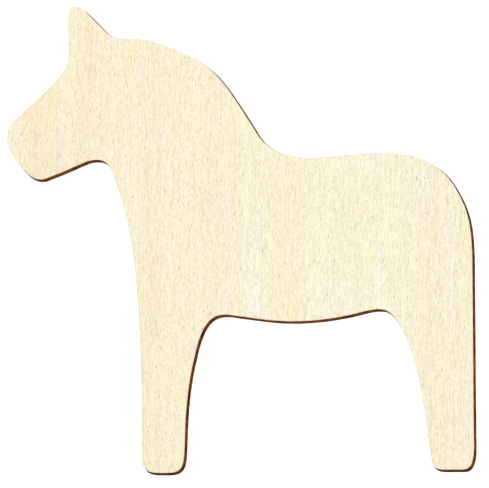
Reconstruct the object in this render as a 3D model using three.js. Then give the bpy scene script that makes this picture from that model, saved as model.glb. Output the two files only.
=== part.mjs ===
// A flat dala horse blank, cut from three-ply plywood.
// Millimetres, +Z up. The horse looks towards -X and its front face looks towards -Y.
// The origin is on the ground, under the middle of the board.
import * as THREE from 'three';

// Driving dimensions: the board is built up from the back face to the front face.
const FACE_PLY = 0.875;
const GLUE_FILM = 0.125;
const CORE_PLY = 1.0;
const BOARD = FACE_PLY + GLUE_FILM + CORE_PLY + GLUE_FILM + FACE_PLY;

// How finely the cut edge is faceted: the steps in each curve, and how far a point must stand off
// the line between its neighbours to be kept, so that nearly straight stretches have no slivers.
const STEPS_PER_CURVE = 8;
const LEAST_STANDOFF = 0.012;

// The cut edge, once round anticlockwise as seen from the front. Each landmark is [x, z, heading]:
// a place on the edge, and the direction in degrees from +X in which the edge runs through it.
// Two landmarks with the same heading are joined by a straight edge, and all others by an arc.
const EAR_FRONT = [
  [-36.1, 100.1, 180],
  [-37.4, 98.3, 261],
  [-37.2, 91.4, 272],
];
const FACE = [
  [-38.6, 85.7, 231],
  [-43.6, 80.4, 225],
  [-48, 76.4, 224],
  [-50.3, 72.5, 268],
  [-49.2, 68.7, 301],
  [-45.9, 64.4, 314],
];
const JAW = [
  [-43.1, 63, 356],
  [-40.3, 63.8, 19],
  [-34.6, 66.1, 22],
  [-32, 67, 7],
];
const THROAT_AND_CHEST = [
  [-29, 66.4, 319],
  [-26.8, 62.3, 290],
  [-23.8, 51.5, 282],
  [-22.1, 39.1, 275],
];
const FRONT_LEG = [
  [-21.3, 27.9, 273],
  [-20.8, 7.9, 270],
  [-20.7, 2.9, 274],
  [-19.9, 0.8, 317],
  [-16.7, 0, 0],
  [-14.5, 0, 0],
  [-12.2, 1.2, 62],
  [-11.6, 4.3, 87],
  [-11.3, 12.9, 86],
  [-9.8, 23.9, 77],
];
const BELLY = [
  [-8.4, 29.1, 69],
  [-5, 33.3, 20],
  [-1.9, 33.5, 353],
  [4.1, 32.6, 352],
  [12.6, 32, 1],
  [25.3, 33.6, 13],
  [28.7, 34.3, 4],
];
const REAR_LEG = [
  [31.2, 34.1, 337],
  [33.2, 32.3, 307],
  [36.5, 25.8, 289],
  [41.1, 2.7, 279],
  [42, 0.5, 324],
  [44.1, 0, 0],
  [48.1, 0, 0],
  [49.7, 1.2, 68],
  [50.2, 5.4, 91],
];
const RUMP = [
  [49.6, 43.9, 91],
  [49, 51.9, 99],
  [45.1, 61.2, 124],
  [42, 64.4, 145],
  [37.3, 66.8, 164],
  [29.4, 67.7, 180],
];
const BACK = [
  [22.4, 67.4, 184],
  [15.2, 66.9, 180],
  [9.6, 67.7, 164],
  [4.6, 70.6, 136],
  [2.8, 73.1, 123],
];
const MANE = [
  [-3.8, 82.9, 128],
  [-7.3, 86.5, 144],
  [-13.9, 90.3, 157],
  [-24.5, 93, 179],
];
const EAR_BACK = [
  [-27, 93.2, 160],
  [-29.3, 94.5, 135],
  [-32.6, 97.8, 135],
  [-34.4, 99.4, 150],
];
const EDGE = [
  ...EAR_FRONT, ...FACE, ...JAW, ...THROAT_AND_CHEST, ...FRONT_LEG, ...BELLY,
  ...REAR_LEG, ...RUMP, ...BACK, ...MANE, ...EAR_BACK,
];

const direction = (heading) => {
  const angle = THREE.MathUtils.degToRad(heading);
  return new THREE.Vector2(Math.cos(angle), Math.sin(angle));
};

// The shortest turn, in degrees, from one heading to another.
const turnBetween = (from, to) => THREE.MathUtils.euclideanModulo(to - from + 180, 360) - 180;

// Handles of this length make a circular arc when the edge turns evenly between two landmarks.
const handleLength = (chord, turn) => {
  const quarterTurn = THREE.MathUtils.degToRad(turn) / 4;
  return chord / (3 * Math.cos(quarterTurn) ** 2);
};

function horseOutline() {
  const outline = new THREE.Shape();
  outline.moveTo(EDGE[0][0], EDGE[0][1]);
  EDGE.forEach(([startX, startZ, startHeading], index) => {
    const [endX, endZ, endHeading] = EDGE[(index + 1) % EDGE.length];
    const turn = turnBetween(startHeading, endHeading);
    if (turn === 0) {
      outline.lineTo(endX, endZ);
      return;
    }
    const start = new THREE.Vector2(startX, startZ);
    const end = new THREE.Vector2(endX, endZ);
    const reach = handleLength(start.distanceTo(end), turn);
    const leaving = direction(startHeading).multiplyScalar(reach).add(start);
    const arriving = direction(endHeading).multiplyScalar(-reach).add(end);
    outline.bezierCurveTo(leaving.x, leaving.y, arriving.x, arriving.y, endX, endZ);
  });
  return outline;
}

function withoutFlatPoints(points) {
  const kept = [points[0]];
  points.slice(1).forEach((here, index) => {
    const before = kept.at(-1);
    const after = points[(index + 2) % points.length];
    const span = after.clone().sub(before);
    const standoff = Math.abs(span.cross(here.clone().sub(before))) / span.length();
    if (standoff > LEAST_STANDOFF) kept.push(here);
  });
  return kept;
}

const material = (color, roughness) => new THREE.MeshStandardMaterial({ color, roughness, metalness: 0 });
const faceWood = material('#f7ecd0', 0.6);
const coreWood = material('#7a4d2a', 0.8);
const gluedSeam = material('#4a2a12', 0.7);

// From the back face to the front face.
const LAYERS = [
  { name: 'back_veneer', thickness: FACE_PLY, finish: faceWood },
  { name: 'back_glue_film', thickness: GLUE_FILM, finish: gluedSeam },
  { name: 'core_veneer', thickness: CORE_PLY, finish: coreWood },
  { name: 'front_glue_film', thickness: GLUE_FILM, finish: gluedSeam },
  { name: 'front_veneer', thickness: FACE_PLY, finish: faceWood },
];

function layerMesh(outline, { name, thickness, finish }) {
  const geometry = new THREE.ExtrudeGeometry(outline, {
    depth: thickness,
    bevelEnabled: false,
  });
  const mesh = new THREE.Mesh(geometry, finish);
  mesh.name = name;
  return mesh;
}

const horse = new THREE.Group();
const outline = new THREE.Shape(withoutFlatPoints(horseOutline().getPoints(STEPS_PER_CURVE)));
let depth = 0;
for (const layer of LAYERS) {
  const mesh = layerMesh(outline, layer);
  mesh.position.z = depth;
  depth += layer.thickness;
  horse.add(mesh);
}

// The layers are stacked lying down, then the board is stood on its hooves.
horse.rotation.x = Math.PI / 2;
horse.position.y = BOARD / 2;

export default horse;
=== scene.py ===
"""A flat dala horse blank of three-ply plywood, cut by a laser, on a pale floor in soft studio light.

Each layer of the board is built round the outline of the CAD: a smooth, dense cut edge with the fine ribs
that a laser leaves, a softened rim, and for the two outer veneers a face with the low relief of its grain.
"""

import math
from typing import NamedTuple

import bmesh
import bpy
import numpy as np
from mathutils import Matrix, Vector
from mathutils.geometry import delaunay_2d_cdt
from mathutils.kdtree import KDTree


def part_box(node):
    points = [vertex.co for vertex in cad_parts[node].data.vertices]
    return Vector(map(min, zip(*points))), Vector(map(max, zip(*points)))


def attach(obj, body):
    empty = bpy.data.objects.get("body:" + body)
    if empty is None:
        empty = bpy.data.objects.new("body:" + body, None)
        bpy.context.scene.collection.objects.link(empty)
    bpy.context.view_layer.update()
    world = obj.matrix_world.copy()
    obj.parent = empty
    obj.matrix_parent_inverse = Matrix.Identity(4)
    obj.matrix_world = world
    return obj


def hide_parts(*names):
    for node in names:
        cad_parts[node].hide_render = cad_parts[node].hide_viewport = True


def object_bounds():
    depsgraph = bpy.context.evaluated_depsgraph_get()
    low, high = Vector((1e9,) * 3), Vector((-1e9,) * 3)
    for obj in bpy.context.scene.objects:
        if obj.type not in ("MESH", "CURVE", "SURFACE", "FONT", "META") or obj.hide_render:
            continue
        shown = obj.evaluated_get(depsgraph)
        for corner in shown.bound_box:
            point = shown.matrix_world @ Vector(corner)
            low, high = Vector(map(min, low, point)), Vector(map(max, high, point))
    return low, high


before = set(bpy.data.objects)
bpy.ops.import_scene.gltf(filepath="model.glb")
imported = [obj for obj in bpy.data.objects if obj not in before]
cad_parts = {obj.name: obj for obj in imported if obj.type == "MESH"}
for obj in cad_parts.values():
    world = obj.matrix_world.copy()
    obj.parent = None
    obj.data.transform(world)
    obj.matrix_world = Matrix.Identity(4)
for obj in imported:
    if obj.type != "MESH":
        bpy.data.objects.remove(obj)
cad_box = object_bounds()

MM = 0.001

# The cut edge, in millimetres.
EDGE_SPACING = 0.2  # between points along the edge
LONGEST_CHORD = 3.0  # straight stretches are split to this before smoothing
STEPS_PER_CHORD = 24  # of the smooth curve, before its points are spaced evenly
RIM = 0.05  # how far the edge of a face is rounded back
GLUE_SET_BACK = 0.035  # the glue burns away a little deeper than the wood
GLUE_CROWN = 0.012  # and less so in the middle of the film
KERF_LEAN = 0.155  # the beam narrows on its way, so the board is this much larger all round at the back
SHARP_ANGLE = math.radians(40)

# The ribs that the laser's pulses leave across the edge, in millimetres.
RIB_DEPTH = 0.016
BROAD_RIB = 0.9  # how far apart they are
NARROW_RIB = 0.45
BROAD_RIB_SHARE = 0.65  # of the depth
RIB_REACH = 1.6  # how far through the board a rib keeps its shape
RIB_DRAG = 0.25  # how far ribs trail along the edge, 1 mm into the board

# The sections of the layers, as (depth, inset) in millimetres: how deep a ring of points is below the
# layer's side, and how far it is inside the outline. The wood is burnt back a little at the glue lines.
FACE_SECTION = [(0, RIM), (0.3 * RIM, 0.3 * RIM), (RIM, 0.0), (0.3, -0.004), (0.5, 0.0), (0.7, 0.004)]
GLUED_SECTION = [(0, 0.02), (0.05, 0.008)]  # of a face veneer, from its glued side
CORE_SECTION = [(0, 0.03), (0.05, 0.014), (0.3, 0.004)]  # from either side

# The faces, in millimetres.
RELIEF_ACROSS = 0.25  # grid across the grain
RELIEF_ALONG = 1.0  # grid along the grain
RELIEF_DEPTH = 0.012
RELIEF_SUNK = 0.6  # how much of the relief's depth its middle lies below the face
RELIEF_BUMPS = [((0.8, 14), (90, 9), 0.7), ((0.5, 5), (200, 9), 0.3)]  # size, place in the noise, share
RELIEF_MARGIN = 0.85  # the grid starts this far inside the edge
SMOKE_RINGS = (0.2, 0.5)  # rings of points between the edge and the grid
SMOKE_REACH = 1.6  # how far in from the cut the smoke has browned a face

# The camera is a little to the rump's side of the horse, and looks up at it from below the floor's level.
VIEW_AZIMUTH = math.radians(8.8)
VIEW_ELEVATION = math.radians(-8.0)
VIEW_ROLL = math.radians(0.49)
VIEW_DISTANCE = 4.0
VIEW_WIDTH = 0.1035  # what the picture's width spans at the horse
AIM_OFFSET = Vector((0.68 * MM, 0.0, -1.19 * MM))  # from the middle of the board
SENSOR_WIDTH = 36.0
VIEW_LIMIT = 50.0

# The stage, with its lengths in metres.
WORLD_STRENGTH = 1.2
FLOOR_GAP = 0.25 * MM  # below the soles, which lean a little lower at the back of the board
FLOOR_RADIUS = 6.0
FLOOR_SIDES = 96
FLOOR_GREY = 0.36
FLOOR_GLOW = 0.6


# ---------------------------------------------------------------- outline

SAME_PLANE = 1e-7  # how near the front face a vertex on it lies, in metres
DECIMALS = 4  # to which two vertices at one place agree, in millimetres


def node_outline(name):
    """The outline of a CAD node's front face: (x, z) points in millimetres, anticlockwise from the front."""
    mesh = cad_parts[name].data
    front = min(v.co.y for v in mesh.vertices)
    places = [(round(v.co.x / MM, DECIMALS), round(v.co.z / MM, DECIMALS)) for v in mesh.vertices]
    onward = {}
    for polygon in mesh.polygons:
        if all(mesh.vertices[i].co.y < front + SAME_PLANE for i in polygon.vertices):
            corners = [places[i] for i in polygon.vertices]
            for start, end in zip(corners, corners[1:] + corners[:1]):
                onward.setdefault(start, set()).add(end)
    outer = {a: b for a, ends in onward.items() for b in ends if a not in onward.get(b, ())}
    point = max(outer, key=lambda p: p[1])
    ring = []
    for _ in outer:
        ring.append(point)
        point = outer[point]
    ring = np.array(ring)
    return ring if signed_area(ring) > 0 else ring[::-1]


def signed_area(ring):
    ahead = np.roll(ring, -1, 0)
    return 0.5 * float(np.sum(ring[:, 0] * ahead[:, 1] - ahead[:, 0] * ring[:, 1]))


def split_long_chords(ring):
    points = []
    for start, end in zip(ring, np.roll(ring, -1, 0)):
        pieces = max(1, math.ceil(np.linalg.norm(end - start) / LONGEST_CHORD))
        points += [start + (end - start) * i / pieces for i in range(pieces)]
    return np.array(points)


def smooth_ring(ring, spacing):
    """A closed curve through the ring's points, as evenly spaced points."""
    ring = split_long_chords(ring)
    chords = np.linalg.norm(np.roll(ring, -1, 0) - ring, axis=1)
    before = np.roll(chords, 1)
    ahead_slope = (np.roll(ring, -1, 0) - ring) / chords[:, None]
    back_slope = np.roll(ahead_slope, 1, 0)
    tangents = (back_slope * chords[:, None] + ahead_slope * before[:, None]) / (chords + before)[:, None]
    t = np.linspace(0, 1, STEPS_PER_CHORD, endpoint=False)[:, None]
    fine = []
    for i in range(len(ring)):
        j = (i + 1) % len(ring)
        fine.append(
            (2 * t**3 - 3 * t**2 + 1) * ring[i] + (t**3 - 2 * t**2 + t) * chords[i] * tangents[i]
            + (3 * t**2 - 2 * t**3) * ring[j] + (t**3 - t**2) * chords[i] * tangents[j]
        )
    fine = np.vstack(fine)
    closed = np.vstack([fine, fine[:1]])
    run = np.concatenate([[0], np.cumsum(np.linalg.norm(np.diff(closed, axis=0), axis=1))])
    count = round(run[-1] / spacing)
    places = np.arange(count) * run[-1] / count
    return np.stack([np.interp(places, run, closed[:, k]) for k in (0, 1)], -1)


def outward_normals(ring):
    along = np.roll(ring, -2, 0) - np.roll(ring, 2, 0)
    along /= np.linalg.norm(along, axis=1)[:, None]
    return np.stack([along[:, 1], -along[:, 0]], -1)


NOISE_SIZE = 512  # the random values' rows and columns


def lattice_noise(u, v, seed, wrap=NOISE_SIZE):
    """Smooth noise from -1 to 1, with one bump for each unit of u and v. In u it repeats every wrap units."""
    values = np.random.default_rng(seed).uniform(-1, 1, (NOISE_SIZE, NOISE_SIZE))
    column, row = np.floor(u).astype(int), np.floor(v).astype(int)
    s, t = u - column, v - row
    s, t = s * s * (3 - 2 * s), t * t * (3 - 2 * t)
    left, right = column % wrap % NOISE_SIZE, (column + 1) % wrap % NOISE_SIZE
    low, high = row % NOISE_SIZE, (row + 1) % NOISE_SIZE
    bottom = values[left, low] * (1 - s) + values[right, low] * s
    top = values[left, high] * (1 - s) + values[right, high] * s
    return bottom * (1 - t) + top * t


# ---------------------------------------------------------------- layers

edge = smooth_ring(node_outline("front_veneer"), EDGE_SPACING)
edge_normals = outward_normals(edge)
edge_count = len(edge)
BOARD_FRONT = cad_box[0].y / MM
BOARD_BACK = cad_box[1].y / MM
INNER_SEED = 5  # of the ribs on the core and the glue
LENGTHWISE, UPRIGHT = 0, 1  # which way the grain runs, along X or Z, as the edge normal's component
BARE, SCORCHED = 0, 1  # the material slots of a face veneer
INSIDE_ONLY = 1  # the triangulation keeps what is inside the rim
MERGE_DISTANCE = 1e-5  # in millimetres


def ribs(depth, seed):
    """How far the ribs stand out of the cut at a depth through the board, once round the edge."""
    girth = edge_count * EDGE_SPACING
    broad_count, narrow_count = round(girth / BROAD_RIB), round(girth / NARROW_RIB)
    run = np.arange(edge_count) / edge_count
    drag = RIB_DRAG * (depth - BOARD_FRONT) ** 1.5 / (broad_count * BROAD_RIB)
    level = np.full(edge_count, (depth - BOARD_FRONT) / RIB_REACH)
    narrow_level = level * 1.5
    broad_wrap = min(broad_count, NOISE_SIZE)
    broad = lattice_noise((run + drag) * broad_count % broad_count, level, seed, broad_wrap)
    narrow = lattice_noise((run + drag) * narrow_count % narrow_count, narrow_level, seed + 1)
    return RIB_DEPTH * (BROAD_RIB_SHARE * broad + (1 - BROAD_RIB_SHARE) * narrow)


def cut_ring(depth, inset, seed):
    """The points of the cut edge at one depth, as (x, y, z) in millimetres."""
    lean = KERF_LEAN * (depth - BOARD_FRONT) / (BOARD_BACK - BOARD_FRONT)
    out = ribs(depth, seed) - 0.5 * RIB_DEPTH - inset + lean
    flat = edge + edge_normals * out[:, None]
    return np.stack([flat[:, 0], np.full(edge_count, depth), flat[:, 1]], -1)


def is_inside(points, ring):
    crossings = np.zeros(len(points), int)
    for (x0, z0), (x1, z1) in zip(ring, np.roll(ring, -1, 0)):
        if z0 == z1:
            continue
        spans = (points[:, 1] > min(z0, z1)) & (points[:, 1] <= max(z0, z1))
        crossings += spans & (points[:, 0] < x0 + (points[:, 1] - z0) * (x1 - x0) / (z1 - z0))
    return crossings % 2 == 1


def distances_to(ring, points):
    tree = KDTree(len(ring))
    for i, (x, z) in enumerate(ring):
        tree.insert((x, z, 0), i)
    tree.balance()
    return np.array([tree.find((x, z, 0))[2] for x, z in points])


def inside_points(ring):
    """Points inside the ring, and how far each is from it: a few rings beside the edge, and then a grid
    that is finer across the grain than along it."""
    low, high = ring.min(0), ring.max(0)
    xs = np.arange(low[0], high[0], RELIEF_ACROSS)
    zs = np.arange(low[1], high[1], RELIEF_ALONG)
    grid = np.stack(np.meshgrid(xs, zs), -1).reshape(-1, 2)
    grid = grid[is_inside(grid, ring)]
    far = distances_to(ring, grid)
    grid, far = grid[far > RELIEF_MARGIN], far[far > RELIEF_MARGIN]
    beside = [ring[::2] - edge_normals[::2] * reach for reach in SMOKE_RINGS]
    reaches = [np.full(len(points), reach) for points, reach in zip(beside, SMOKE_RINGS)]
    return np.vstack([*beside, grid]), np.concatenate([*reaches, far])


def face_cap(ring, depth, outward, seed):
    """A face with its grain's relief: its vertices inside the rim, how near each is to the cut (the mask for
    the smoky halo and for the painted shade at the rim), and its triangles, which count the ring's vertices
    first and then the ones inside."""
    rim = ring[:, (0, 2)]
    inner, reaches = inside_points(rim)
    points = [Vector(p) for p in np.vstack([rim, inner])]
    loop = [(i, (i + 1) % len(rim)) for i in range(len(rim))]
    made = delaunay_2d_cdt(points, loop, [], INSIDE_ONLY, MERGE_DISTANCE)
    assert len(made[0]) == len(points), "the face's triangulation moved or merged points"
    height = np.zeros(len(inner))
    for i, ((across, along), (u, v), share) in enumerate(RELIEF_BUMPS):
        height += share * lattice_noise(inner[:, 0] / across + u, inner[:, 1] / along + v, seed + i)
    depths = depth + outward * RELIEF_DEPTH * (height - RELIEF_SUNK) * np.clip(reaches, 0, 1)
    vertices = np.stack([inner[:, 0], depths, inner[:, 1]], -1)
    # how near each point is to the cut: the mask for the smoky halo, and, raised to a high power, for the
    # painted shade along the rim
    smoke_and_rim_shade = np.clip(1 - reaches / SMOKE_REACH, 0, 1) ** 2
    order = 1 if outward < 0 else -1
    return vertices, smoke_and_rim_shade, [face[::order] for face in made[2]]


def layer(name, node, rings, seed, relief=0, grain=UPRIGHT):
    """One layer of the board: rings are (depth, inset) from its front side to its back side.
    relief is -1 for a grained face at the front, 1 for one at the back, and 0 for none."""
    loops = [cut_ring(depth, inset, seed) for depth, inset in rings]
    vertices = np.vstack(loops)
    faces = []
    around = np.arange(edge_count)
    onward = (around + 1) % edge_count
    for i in range(len(rings) - 1):
        here, there = i * edge_count, (i + 1) * edge_count
        faces += np.stack([here + around, there + around, there + onward, here + onward], -1).tolist()
    wall_faces = len(faces)
    last = (len(rings) - 1) * edge_count
    front_cap, back_cap = list(range(edge_count)), list(range(last, last + edge_count))[::-1]
    extra, smoke_and_rim_shade = np.zeros((0, 3)), np.zeros(0)
    if relief:
        side, rim_start, hidden_cap = (0, 0, back_cap) if relief < 0 else (-1, last, front_cap)
        extra, smoke_and_rim_shade, triangles = face_cap(loops[side], rings[side][0], relief, seed)
        inner_start = len(vertices) - edge_count
        faces += [[i + (rim_start if i < edge_count else inner_start) for i in t] for t in triangles]
        faces.append(hidden_cap)
    else:
        faces += [front_cap, back_cap]
    vertices = np.vstack([vertices, extra])
    smoke_and_rim_shade = np.concatenate([np.ones(len(rings) * edge_count), smoke_and_rim_shade])
    end_grain = np.concatenate([np.tile(edge_normals[:, grain] ** 2, len(rings)), np.zeros(len(extra))])
    mesh = bpy.data.meshes.new(name)
    mesh.from_pydata((vertices * MM).tolist(), [], faces)
    for label, values in (("smoke_and_rim_shade", smoke_and_rim_shade), ("end_grain", end_grain)):
        mesh.attributes.new(label, "FLOAT", "POINT").data.foreach_set("value", values.astype(np.float32))
    if relief:
        rim_end = edge_count if relief < 0 else wall_faces
        slots = np.full(len(faces), BARE)
        slots[:wall_faces] = SCORCHED
        slots[rim_end - edge_count:rim_end] = BARE
        slots[-1] = SCORCHED  # the glued side
        mesh.polygons.foreach_set("material_index", slots)
    mesh.validate()
    mesh.shade_smooth()
    mesh.set_sharp_from_angle(angle=SHARP_ANGLE)
    piece = bpy.data.objects.new(name, mesh)
    bpy.context.scene.collection.objects.link(piece)
    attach(piece, "root")
    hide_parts(node)
    return piece


def depths_of(node):
    low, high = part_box(node)
    return low.y / MM, high.y / MM


def face_veneer(name, node, outward, seed):
    """An outer veneer: its face is at the board's front if outward is -1, and at its back if it is 1."""
    near, far = depths_of(node)
    face, inside = (near, far) if outward < 0 else (far, near)
    rings = [(face - outward * depth, inset) for depth, inset in FACE_SECTION]
    rings += [(inside + outward * depth, inset) for depth, inset in reversed(GLUED_SECTION)]
    if outward > 0:
        rings.reverse()
    return layer(name, node, rings, seed, relief=outward)


def core_veneer(name, node):
    near, far = depths_of(node)
    rings = [(near + depth, inset) for depth, inset in CORE_SECTION]
    rings += [((near + far) / 2, 0.0)]
    rings += [(far - depth, inset) for depth, inset in reversed(CORE_SECTION)]
    return layer(name, node, rings, INNER_SEED, grain=LENGTHWISE)


def glue_film(name, node):
    near, far = depths_of(node)
    rings = [(near, GLUE_SET_BACK), ((near + far) / 2, GLUE_SET_BACK - GLUE_CROWN), (far, GLUE_SET_BACK)]
    return layer(name, node, rings, INNER_SEED)


# ---------------------------------------------------------------- materials

# The Mix node's sockets when it mixes colours.
MIX_AMOUNT, MIX_FIRST, MIX_SECOND, MIX_RESULT = 0, 6, 7, 2


class Shader:
    """One procedural material, with short calls for the nodes that it uses."""

    def __init__(self, name):
        self.material = bpy.data.materials.new(name)
        self.material.use_nodes = True
        self.tree = self.material.node_tree
        self.surface = self.tree.nodes["Principled BSDF"]
        self.place = self.add("ShaderNodeTexCoord").outputs["Object"]

    def add(self, kind, inputs=None, **settings):
        node = self.tree.nodes.new(kind)
        for key, value in settings.items():
            setattr(node, key, value)
        for key, value in (inputs or {}).items():
            self.set(node.inputs[key], value)
        return node

    def set(self, socket, value):
        if isinstance(value, bpy.types.NodeSocket):
            self.tree.links.new(value, socket)
        else:
            socket.default_value = value

    def math(self, operation, *values):
        return self.add("ShaderNodeMath", dict(enumerate(values)), operation=operation).outputs[0]

    def weighted_sum(self, *terms):
        """The sum of (value, weight) pairs."""
        total = self.math("MULTIPLY", *terms[0])
        for value, weight in terms[1:]:
            total = self.math("ADD", total, self.math("MULTIPLY", value, weight))
        return total

    def stretched_noise(self, size, offset=(0, 0, 0), lean=0.0, detail=2.0, distortion=0.0):
        """Noise with bumps of this (x, y, z) size in millimetres. lean turns it about the Y axis."""
        turned = self.add("ShaderNodeMapping", {"Vector": self.place, "Rotation": (0, lean, 0)})
        scale = [1 / (s * MM) for s in size]
        scaled = self.add("ShaderNodeMapping", {
            "Vector": turned.outputs[0], "Location": offset, "Scale": scale})
        noise = self.add("ShaderNodeTexNoise", {
            "Vector": scaled.outputs[0], "Scale": 1.0, "Detail": detail, "Distortion": distortion})
        return noise.outputs[0]

    def span(self, value, low, high, to_low=0.0, to_high=1.0):
        return self.add("ShaderNodeMapRange", {
            "Value": value, "From Min": low, "From Max": high,
            "To Min": to_low, "To Max": to_high}).outputs[0]

    def mix(self, kind, amount, first, second):
        node = self.add("ShaderNodeMix", data_type="RGBA", blend_type=kind)
        self.set(node.inputs[MIX_AMOUNT], amount)
        self.set(node.inputs[MIX_FIRST], first)
        self.set(node.inputs[MIX_SECOND], second)
        return node.outputs[MIX_RESULT]

    def tint(self, colour, amount, by):
        return self.mix("MULTIPLY", amount, colour, by)

    def attribute(self, name):
        return self.add("ShaderNodeAttribute", attribute_name=name).outputs["Fac"]

    def finish(self, colour, roughness, specular, height, bump_depth):
        bump = self.add("ShaderNodeBump", {"Height": height, "Distance": bump_depth, "Strength": 1.0})
        self.set(self.surface.inputs["Base Color"], colour)
        self.set(self.surface.inputs["Roughness"], roughness)
        self.set(self.surface.inputs["Specular IOR Level"], specular)
        self.set(self.surface.inputs["Normal"], bump.outputs[0])
        return self.material


NOISE_RANGE = (0.3, 0.7)  # nearly all values of a noise node are in it

VENEER = (0.900, 0.863, 0.740, 1)
WARM = (0.99, 0.88, 0.78, 1)  # the tint of the veneer's warmest bands
GRAIN_LEAN = math.radians(-0.5)  # of the front's grain from upright, and the other way at the back
SMOKE = (0.55, 0.38, 0.22, 1)  # the tint of the halo beside the cut, where the beam came out
RIM_PAINTED_SHADE = (0.87, 0.89, 0.93, 1)  # painted shade: the very edge of a face is a little greyer and cooler, as if its rounded rim were in shade
RIM_PAINTED_SHADE_POWER = 8.0  # how closely the painted rim shade keeps to the rim
VENEER_ROUGHNESS = (0.52, 0.66)
VENEER_SPECULAR = 0.35
VENEER_BUMP = 0.02 * MM
TOAST = (0.25, 0.070, 0.009, 1)  # the scorched edge, where it is lightest
CHAR = (0.065, 0.016, 0.003, 1)  # and darkest
SCORCH_PATCH_SIZE = (1.7, 30, 1.7)  # in millimetres: patches and streaks run straight through the board
SCORCH_STREAK_SIZE = (0.35, 12, 0.35)
SCORCH_SHARES = (1.3, 0.75, 0.2)  # how much patches, streaks and end grain darken the edge
SCORCH_SPAN = (0.93, 1.33)  # the darkening between which the colour goes from toast to char
SCORCH_PLACE = (3, 5, 7)  # in the noise, so that patches and streaks carry on from layer to layer
SCORCH_LINE_SIZE = (14, 0.12, 14)  # fine lines run along the edge
SCORCH_LINE = (0.75, 0.67, 0.6, 1)  # and have this tint
SCORCH_BUMP = 0.03 * MM
GLUE_DARK = (0.03, 0.012, 0.005, 1)
GLUE_LIGHT = (0.07, 0.028, 0.012, 1)
GLUE_BUMP = 0.02 * MM
BURNT_ROUGHNESS = (0.7, 0.9)

# Broad bands of the face veneer: place across the horse in millimetres, and how warm the wood is there.
# There are 32 of them, which is as many as a colour ramp holds.
VENEER_BANDS = [
    (-50, 0.35), (-47, 0.4), (-45.5, 0.7), (-44.5, 1.0), (-43.5, 0.6), (-40, 0.6), (-39, 0.4),
    (-36.5, 0.25), (-35.5, 0.65), (-33, 0.75), (-31.5, 0.35), (-30, 0.6), (-27.5, 0.25), (-26, 0.5),
    (-23, 0.25), (-21.5, 0.5), (-18, 0.6), (-16, 0.3), (-10, 0.27), (-5, 0.5), (-3, 0.25), (-1.5, 0.35),
    (1, 0.0), (5.5, 0.15), (11, 0.35), (15.5, 0.0), (20, 0.05), (24, 0.25), (29.5, 0.0),
    (36.5, 0.1), (39.5, 0.4), (43, 0.2),
]
VENEER_HALF_WIDTH = 50.5
BAND_WANDER = 1.5  # how far a band strays sideways as it runs up the horse


class Figure(NamedTuple):
    """One kind of mark in the veneer: noise that tints the wood where it is high."""
    size: tuple  # in millimetres: across, through and along the grain
    low: float  # the noise where the tint starts
    high: float  # the noise where the tint is full
    tint: tuple
    detail: float = 1.0
    distortion: float = 0.0


VENEER_FIGURES = {
    "wave": Figure((2.2, 2.2, 40), 0.3, 0.7, (1.0, 0.988, 0.875, 1), detail=2.0),
    "streak": Figure((0.8, 0.8, 14), 0.35, 0.7, (1.0, 0.995, 0.93, 1)),
    "thread": Figure((0.10, 0.10, 26), 0.4, 0.7, (0.89, 0.88, 0.86, 1)),
    "fibre": Figure((0.11, 0.11, 2.0), 0.35, 0.68, (0.838, 0.826, 0.808, 1)),
    "pore": Figure((0.11, 0.11, 0.4), 0.4, 0.65, (0.83, 0.82, 0.80, 1)),
    "fleck": Figure((0.15, 0.15, 1.3), 0.64, 0.76, (0.5, 0.48, 0.41, 1), distortion=0.6),
}


def banded_veneer(shader, lean, offset):
    """The veneer's plain colour with its broad, slightly wandering bands."""
    wander = shader.stretched_noise((16, 16, 60), offset, lean)
    across = shader.add("ShaderNodeSeparateXYZ", {"Vector": shader.place}).outputs["X"]
    wandered = shader.math("ADD", shader.math("MULTIPLY", across, 1 / MM),
                           shader.span(wander, 0, 1, -BAND_WANDER, BAND_WANDER))
    ramp = shader.add("ShaderNodeValToRGB", {
        "Fac": shader.span(wandered, -VENEER_HALF_WIDTH, VENEER_HALF_WIDTH)})
    ramp.color_ramp.interpolation = "EASE"
    stops = ramp.color_ramp.elements
    while len(stops) < len(VENEER_BANDS):
        stops.new(0.5)
    for stop, (place, warmth) in zip(stops, VENEER_BANDS):
        stop.position = (place + VENEER_HALF_WIDTH) / (2 * VENEER_HALF_WIDTH)
        stop.color = (warmth, warmth, warmth, 1)
    return shader.tint(VENEER, ramp.outputs[0], WARM)


def veneer_material(name, lean, offset, halo):
    """Bare sanded veneer with upright grain, and a painted shade along the very rim of its face. halo is how
    strongly the beam's smoky fumes have browned it beside the cut.
    """
    shader = Shader(name)
    colour = banded_veneer(shader, lean, offset)
    noises, amounts = {}, {}
    for mark, figure in VENEER_FIGURES.items():
        noises[mark] = shader.stretched_noise(figure.size, offset, lean, figure.detail, figure.distortion)
        amounts[mark] = shader.span(noises[mark], figure.low, figure.high)
        colour = shader.tint(colour, amounts[mark], figure.tint)
    smoke_and_rim_shade = shader.attribute("smoke_and_rim_shade")
    # painted shade: a cool grey along the very edge of the face, standing in for the shade of its rounded rim
    colour = shader.tint(colour, shader.math("POWER", smoke_and_rim_shade, RIM_PAINTED_SHADE_POWER), RIM_PAINTED_SHADE)
    if halo:
        patch = shader.stretched_noise((3, 3, 3), offset)
        browned = shader.math("MULTIPLY", smoke_and_rim_shade, shader.span(patch, *NOISE_RANGE, 0.0, halo))
        colour = shader.tint(colour, browned, SMOKE)
    roughness = shader.span(noises["fibre"], *NOISE_RANGE, *VENEER_ROUGHNESS)
    height = shader.math("SUBTRACT", shader.math("MULTIPLY", noises["fibre"], 0.5), amounts["fleck"])
    return shader.finish(colour, roughness, VENEER_SPECULAR, height, VENEER_BUMP)


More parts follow.
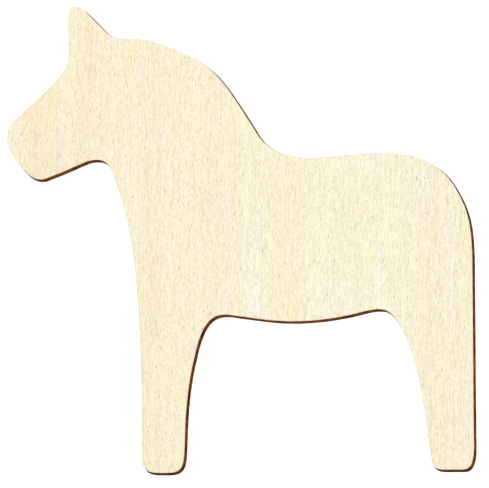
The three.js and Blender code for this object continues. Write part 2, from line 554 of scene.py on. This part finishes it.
def scorched_material(name, offset):
    """The cut edge: toasted brown, with darker streaks straight through the board, and darker where the
    beam crossed the grain than where it ran along it."""
    shader = Shader(name)
    patch = shader.stretched_noise(SCORCH_PATCH_SIZE, SCORCH_PLACE)
    streak = shader.stretched_noise(SCORCH_STREAK_SIZE, SCORCH_PLACE, detail=1.0)
    dark = shader.weighted_sum(*zip((patch, streak, shader.attribute("end_grain")), SCORCH_SHARES))
    colour = shader.mix("MIX", shader.span(dark, *SCORCH_SPAN), TOAST, CHAR)
    line = shader.stretched_noise(SCORCH_LINE_SIZE, offset)
    colour = shader.tint(colour, shader.span(line, 0.45, 0.7), SCORCH_LINE)
    roughness = shader.span(streak, *NOISE_RANGE, *BURNT_ROUGHNESS)
    return shader.finish(colour, roughness, 0.0, streak, SCORCH_BUMP)


def glue_material(name):
    shader = Shader(name)
    patch = shader.stretched_noise((0.6, 3, 0.6), (1, 2, 3))
    colour = shader.mix("MIX", shader.span(patch, 0.35, 0.65), GLUE_DARK, GLUE_LIGHT)
    roughness = shader.span(patch, *NOISE_RANGE, *BURNT_ROUGHNESS)
    return shader.finish(colour, roughness, 0.0, patch, GLUE_BUMP)


# ---------------------------------------------------------------- pieces

front = face_veneer("front_veneer_wood", "front_veneer", -1, seed=3)
back = face_veneer("back_veneer_wood", "back_veneer", 1, seed=8)
core = core_veneer("core_veneer_wood", "core_veneer")
front_glue = glue_film("front_glue_line", "front_glue_film")
back_glue = glue_film("back_glue_line", "back_glue_film")

front.data.materials.append(veneer_material("front_veneer_bare", GRAIN_LEAN, (3, 5, 7), halo=0.0))
back.data.materials.append(veneer_material("back_veneer_bare", -GRAIN_LEAN, (41, 23, 17), halo=0.8))
scorched_face = scorched_material("face_veneer_scorched", (2, 4, 6))
for veneer in (front, back):
    veneer.data.materials.append(scorched_face)
core.data.materials.append(scorched_material("core_veneer_scorched", (8, 9, 1)))
glue = glue_material("glue_film_burnt")
for film in (front_glue, back_glue):
    film.data.materials.append(glue)


# ---------------------------------------------------------------- stage


def floor():
    """A pale floor just under the hooves. It shows only from above, so that the camera can be below it."""
    builder = bmesh.new()
    bmesh.ops.create_circle(builder, cap_ends=True, radius=FLOOR_RADIUS, segments=FLOOR_SIDES)
    mesh = bpy.data.meshes.new("floor")
    builder.to_mesh(mesh)
    builder.free()
    mesh.materials.append(floor_material())
    plane = bpy.data.objects.new("floor", mesh)
    plane.location.z = cad_box[0].z - FLOOR_GAP
    bpy.context.scene.collection.objects.link(plane)


def floor_material():
    material = bpy.data.materials.new("pale_floor")
    material.use_nodes = True
    tree = material.node_tree
    tree.nodes.clear()
    output = tree.nodes.new("ShaderNodeOutputMaterial")
    side = tree.nodes.new("ShaderNodeMixShader")
    paint = tree.nodes.new("ShaderNodeAddShader")
    diffuse = tree.nodes.new("ShaderNodeBsdfDiffuse")
    glow = tree.nodes.new("ShaderNodeEmission")
    clear = tree.nodes.new("ShaderNodeBsdfTransparent")
    geometry = tree.nodes.new("ShaderNodeNewGeometry")
    diffuse.inputs["Color"].default_value = (FLOOR_GREY, FLOOR_GREY, FLOOR_GREY, 1)
    glow.inputs["Strength"].default_value = FLOOR_GLOW
    tree.links.new(diffuse.outputs[0], paint.inputs[0])
    tree.links.new(glow.outputs[0], paint.inputs[1])
    tree.links.new(geometry.outputs["Backfacing"], side.inputs[0])
    tree.links.new(paint.outputs[0], side.inputs[1])
    tree.links.new(clear.outputs[0], side.inputs[2])
    tree.links.new(side.outputs[0], output.inputs["Surface"])
    return material


def soft_light(name, place, size, power):
    lamp = bpy.data.lights.new(name, "AREA")
    lamp.shape = "DISK"
    lamp.size = size
    lamp.energy = power
    light = bpy.data.objects.new(name, lamp)
    light.location = place
    middle = (cad_box[0] + cad_box[1]) / 2
    light.rotation_euler = (middle - Vector(place)).to_track_quat("-Z", "Y").to_euler()
    light.visible_camera = False
    bpy.context.scene.collection.objects.link(light)


def white_world():
    world = bpy.data.worlds.new("studio")
    world.use_nodes = True
    background = world.node_tree.nodes["Background"]
    background.inputs["Color"].default_value = (1, 1, 1, 1)
    background.inputs["Strength"].default_value = WORLD_STRENGTH
    bpy.context.scene.world = world


def camera():
    across = Vector((math.cos(VIEW_AZIMUTH), math.sin(VIEW_AZIMUTH), 0))
    backward = Vector((
        math.sin(VIEW_AZIMUTH) * math.cos(VIEW_ELEVATION),
        -math.cos(VIEW_AZIMUTH) * math.cos(VIEW_ELEVATION),
        math.sin(VIEW_ELEVATION),
    ))
    up = backward.cross(across)
    rolled_across = across * math.cos(VIEW_ROLL) + up * math.sin(VIEW_ROLL)
    rolled_up = up * math.cos(VIEW_ROLL) - across * math.sin(VIEW_ROLL)
    aim = (cad_box[0] + cad_box[1]) / 2 + AIM_OFFSET
    data = bpy.data.cameras.new("camera")
    data.sensor_width = SENSOR_WIDTH
    data.lens = SENSOR_WIDTH * VIEW_DISTANCE / VIEW_WIDTH
    data.clip_end = VIEW_LIMIT
    view = bpy.data.objects.new("camera", data)
    view.matrix_world = (
        Matrix.Translation(aim + backward * VIEW_DISTANCE)
        @ Matrix((rolled_across, rolled_up, backward)).transposed().to_4x4()
    )
    bpy.context.scene.collection.objects.link(view)
    bpy.context.scene.camera = view


floor()
white_world()
soft_light("key", place=(-0.7, -1.4, 1.3), size=1.2, power=9)
soft_light("fill", place=(0.9, 1.5, 1.2), size=1.2, power=6)
camera()
bpy.context.scene.view_settings.view_transform = "Standard"
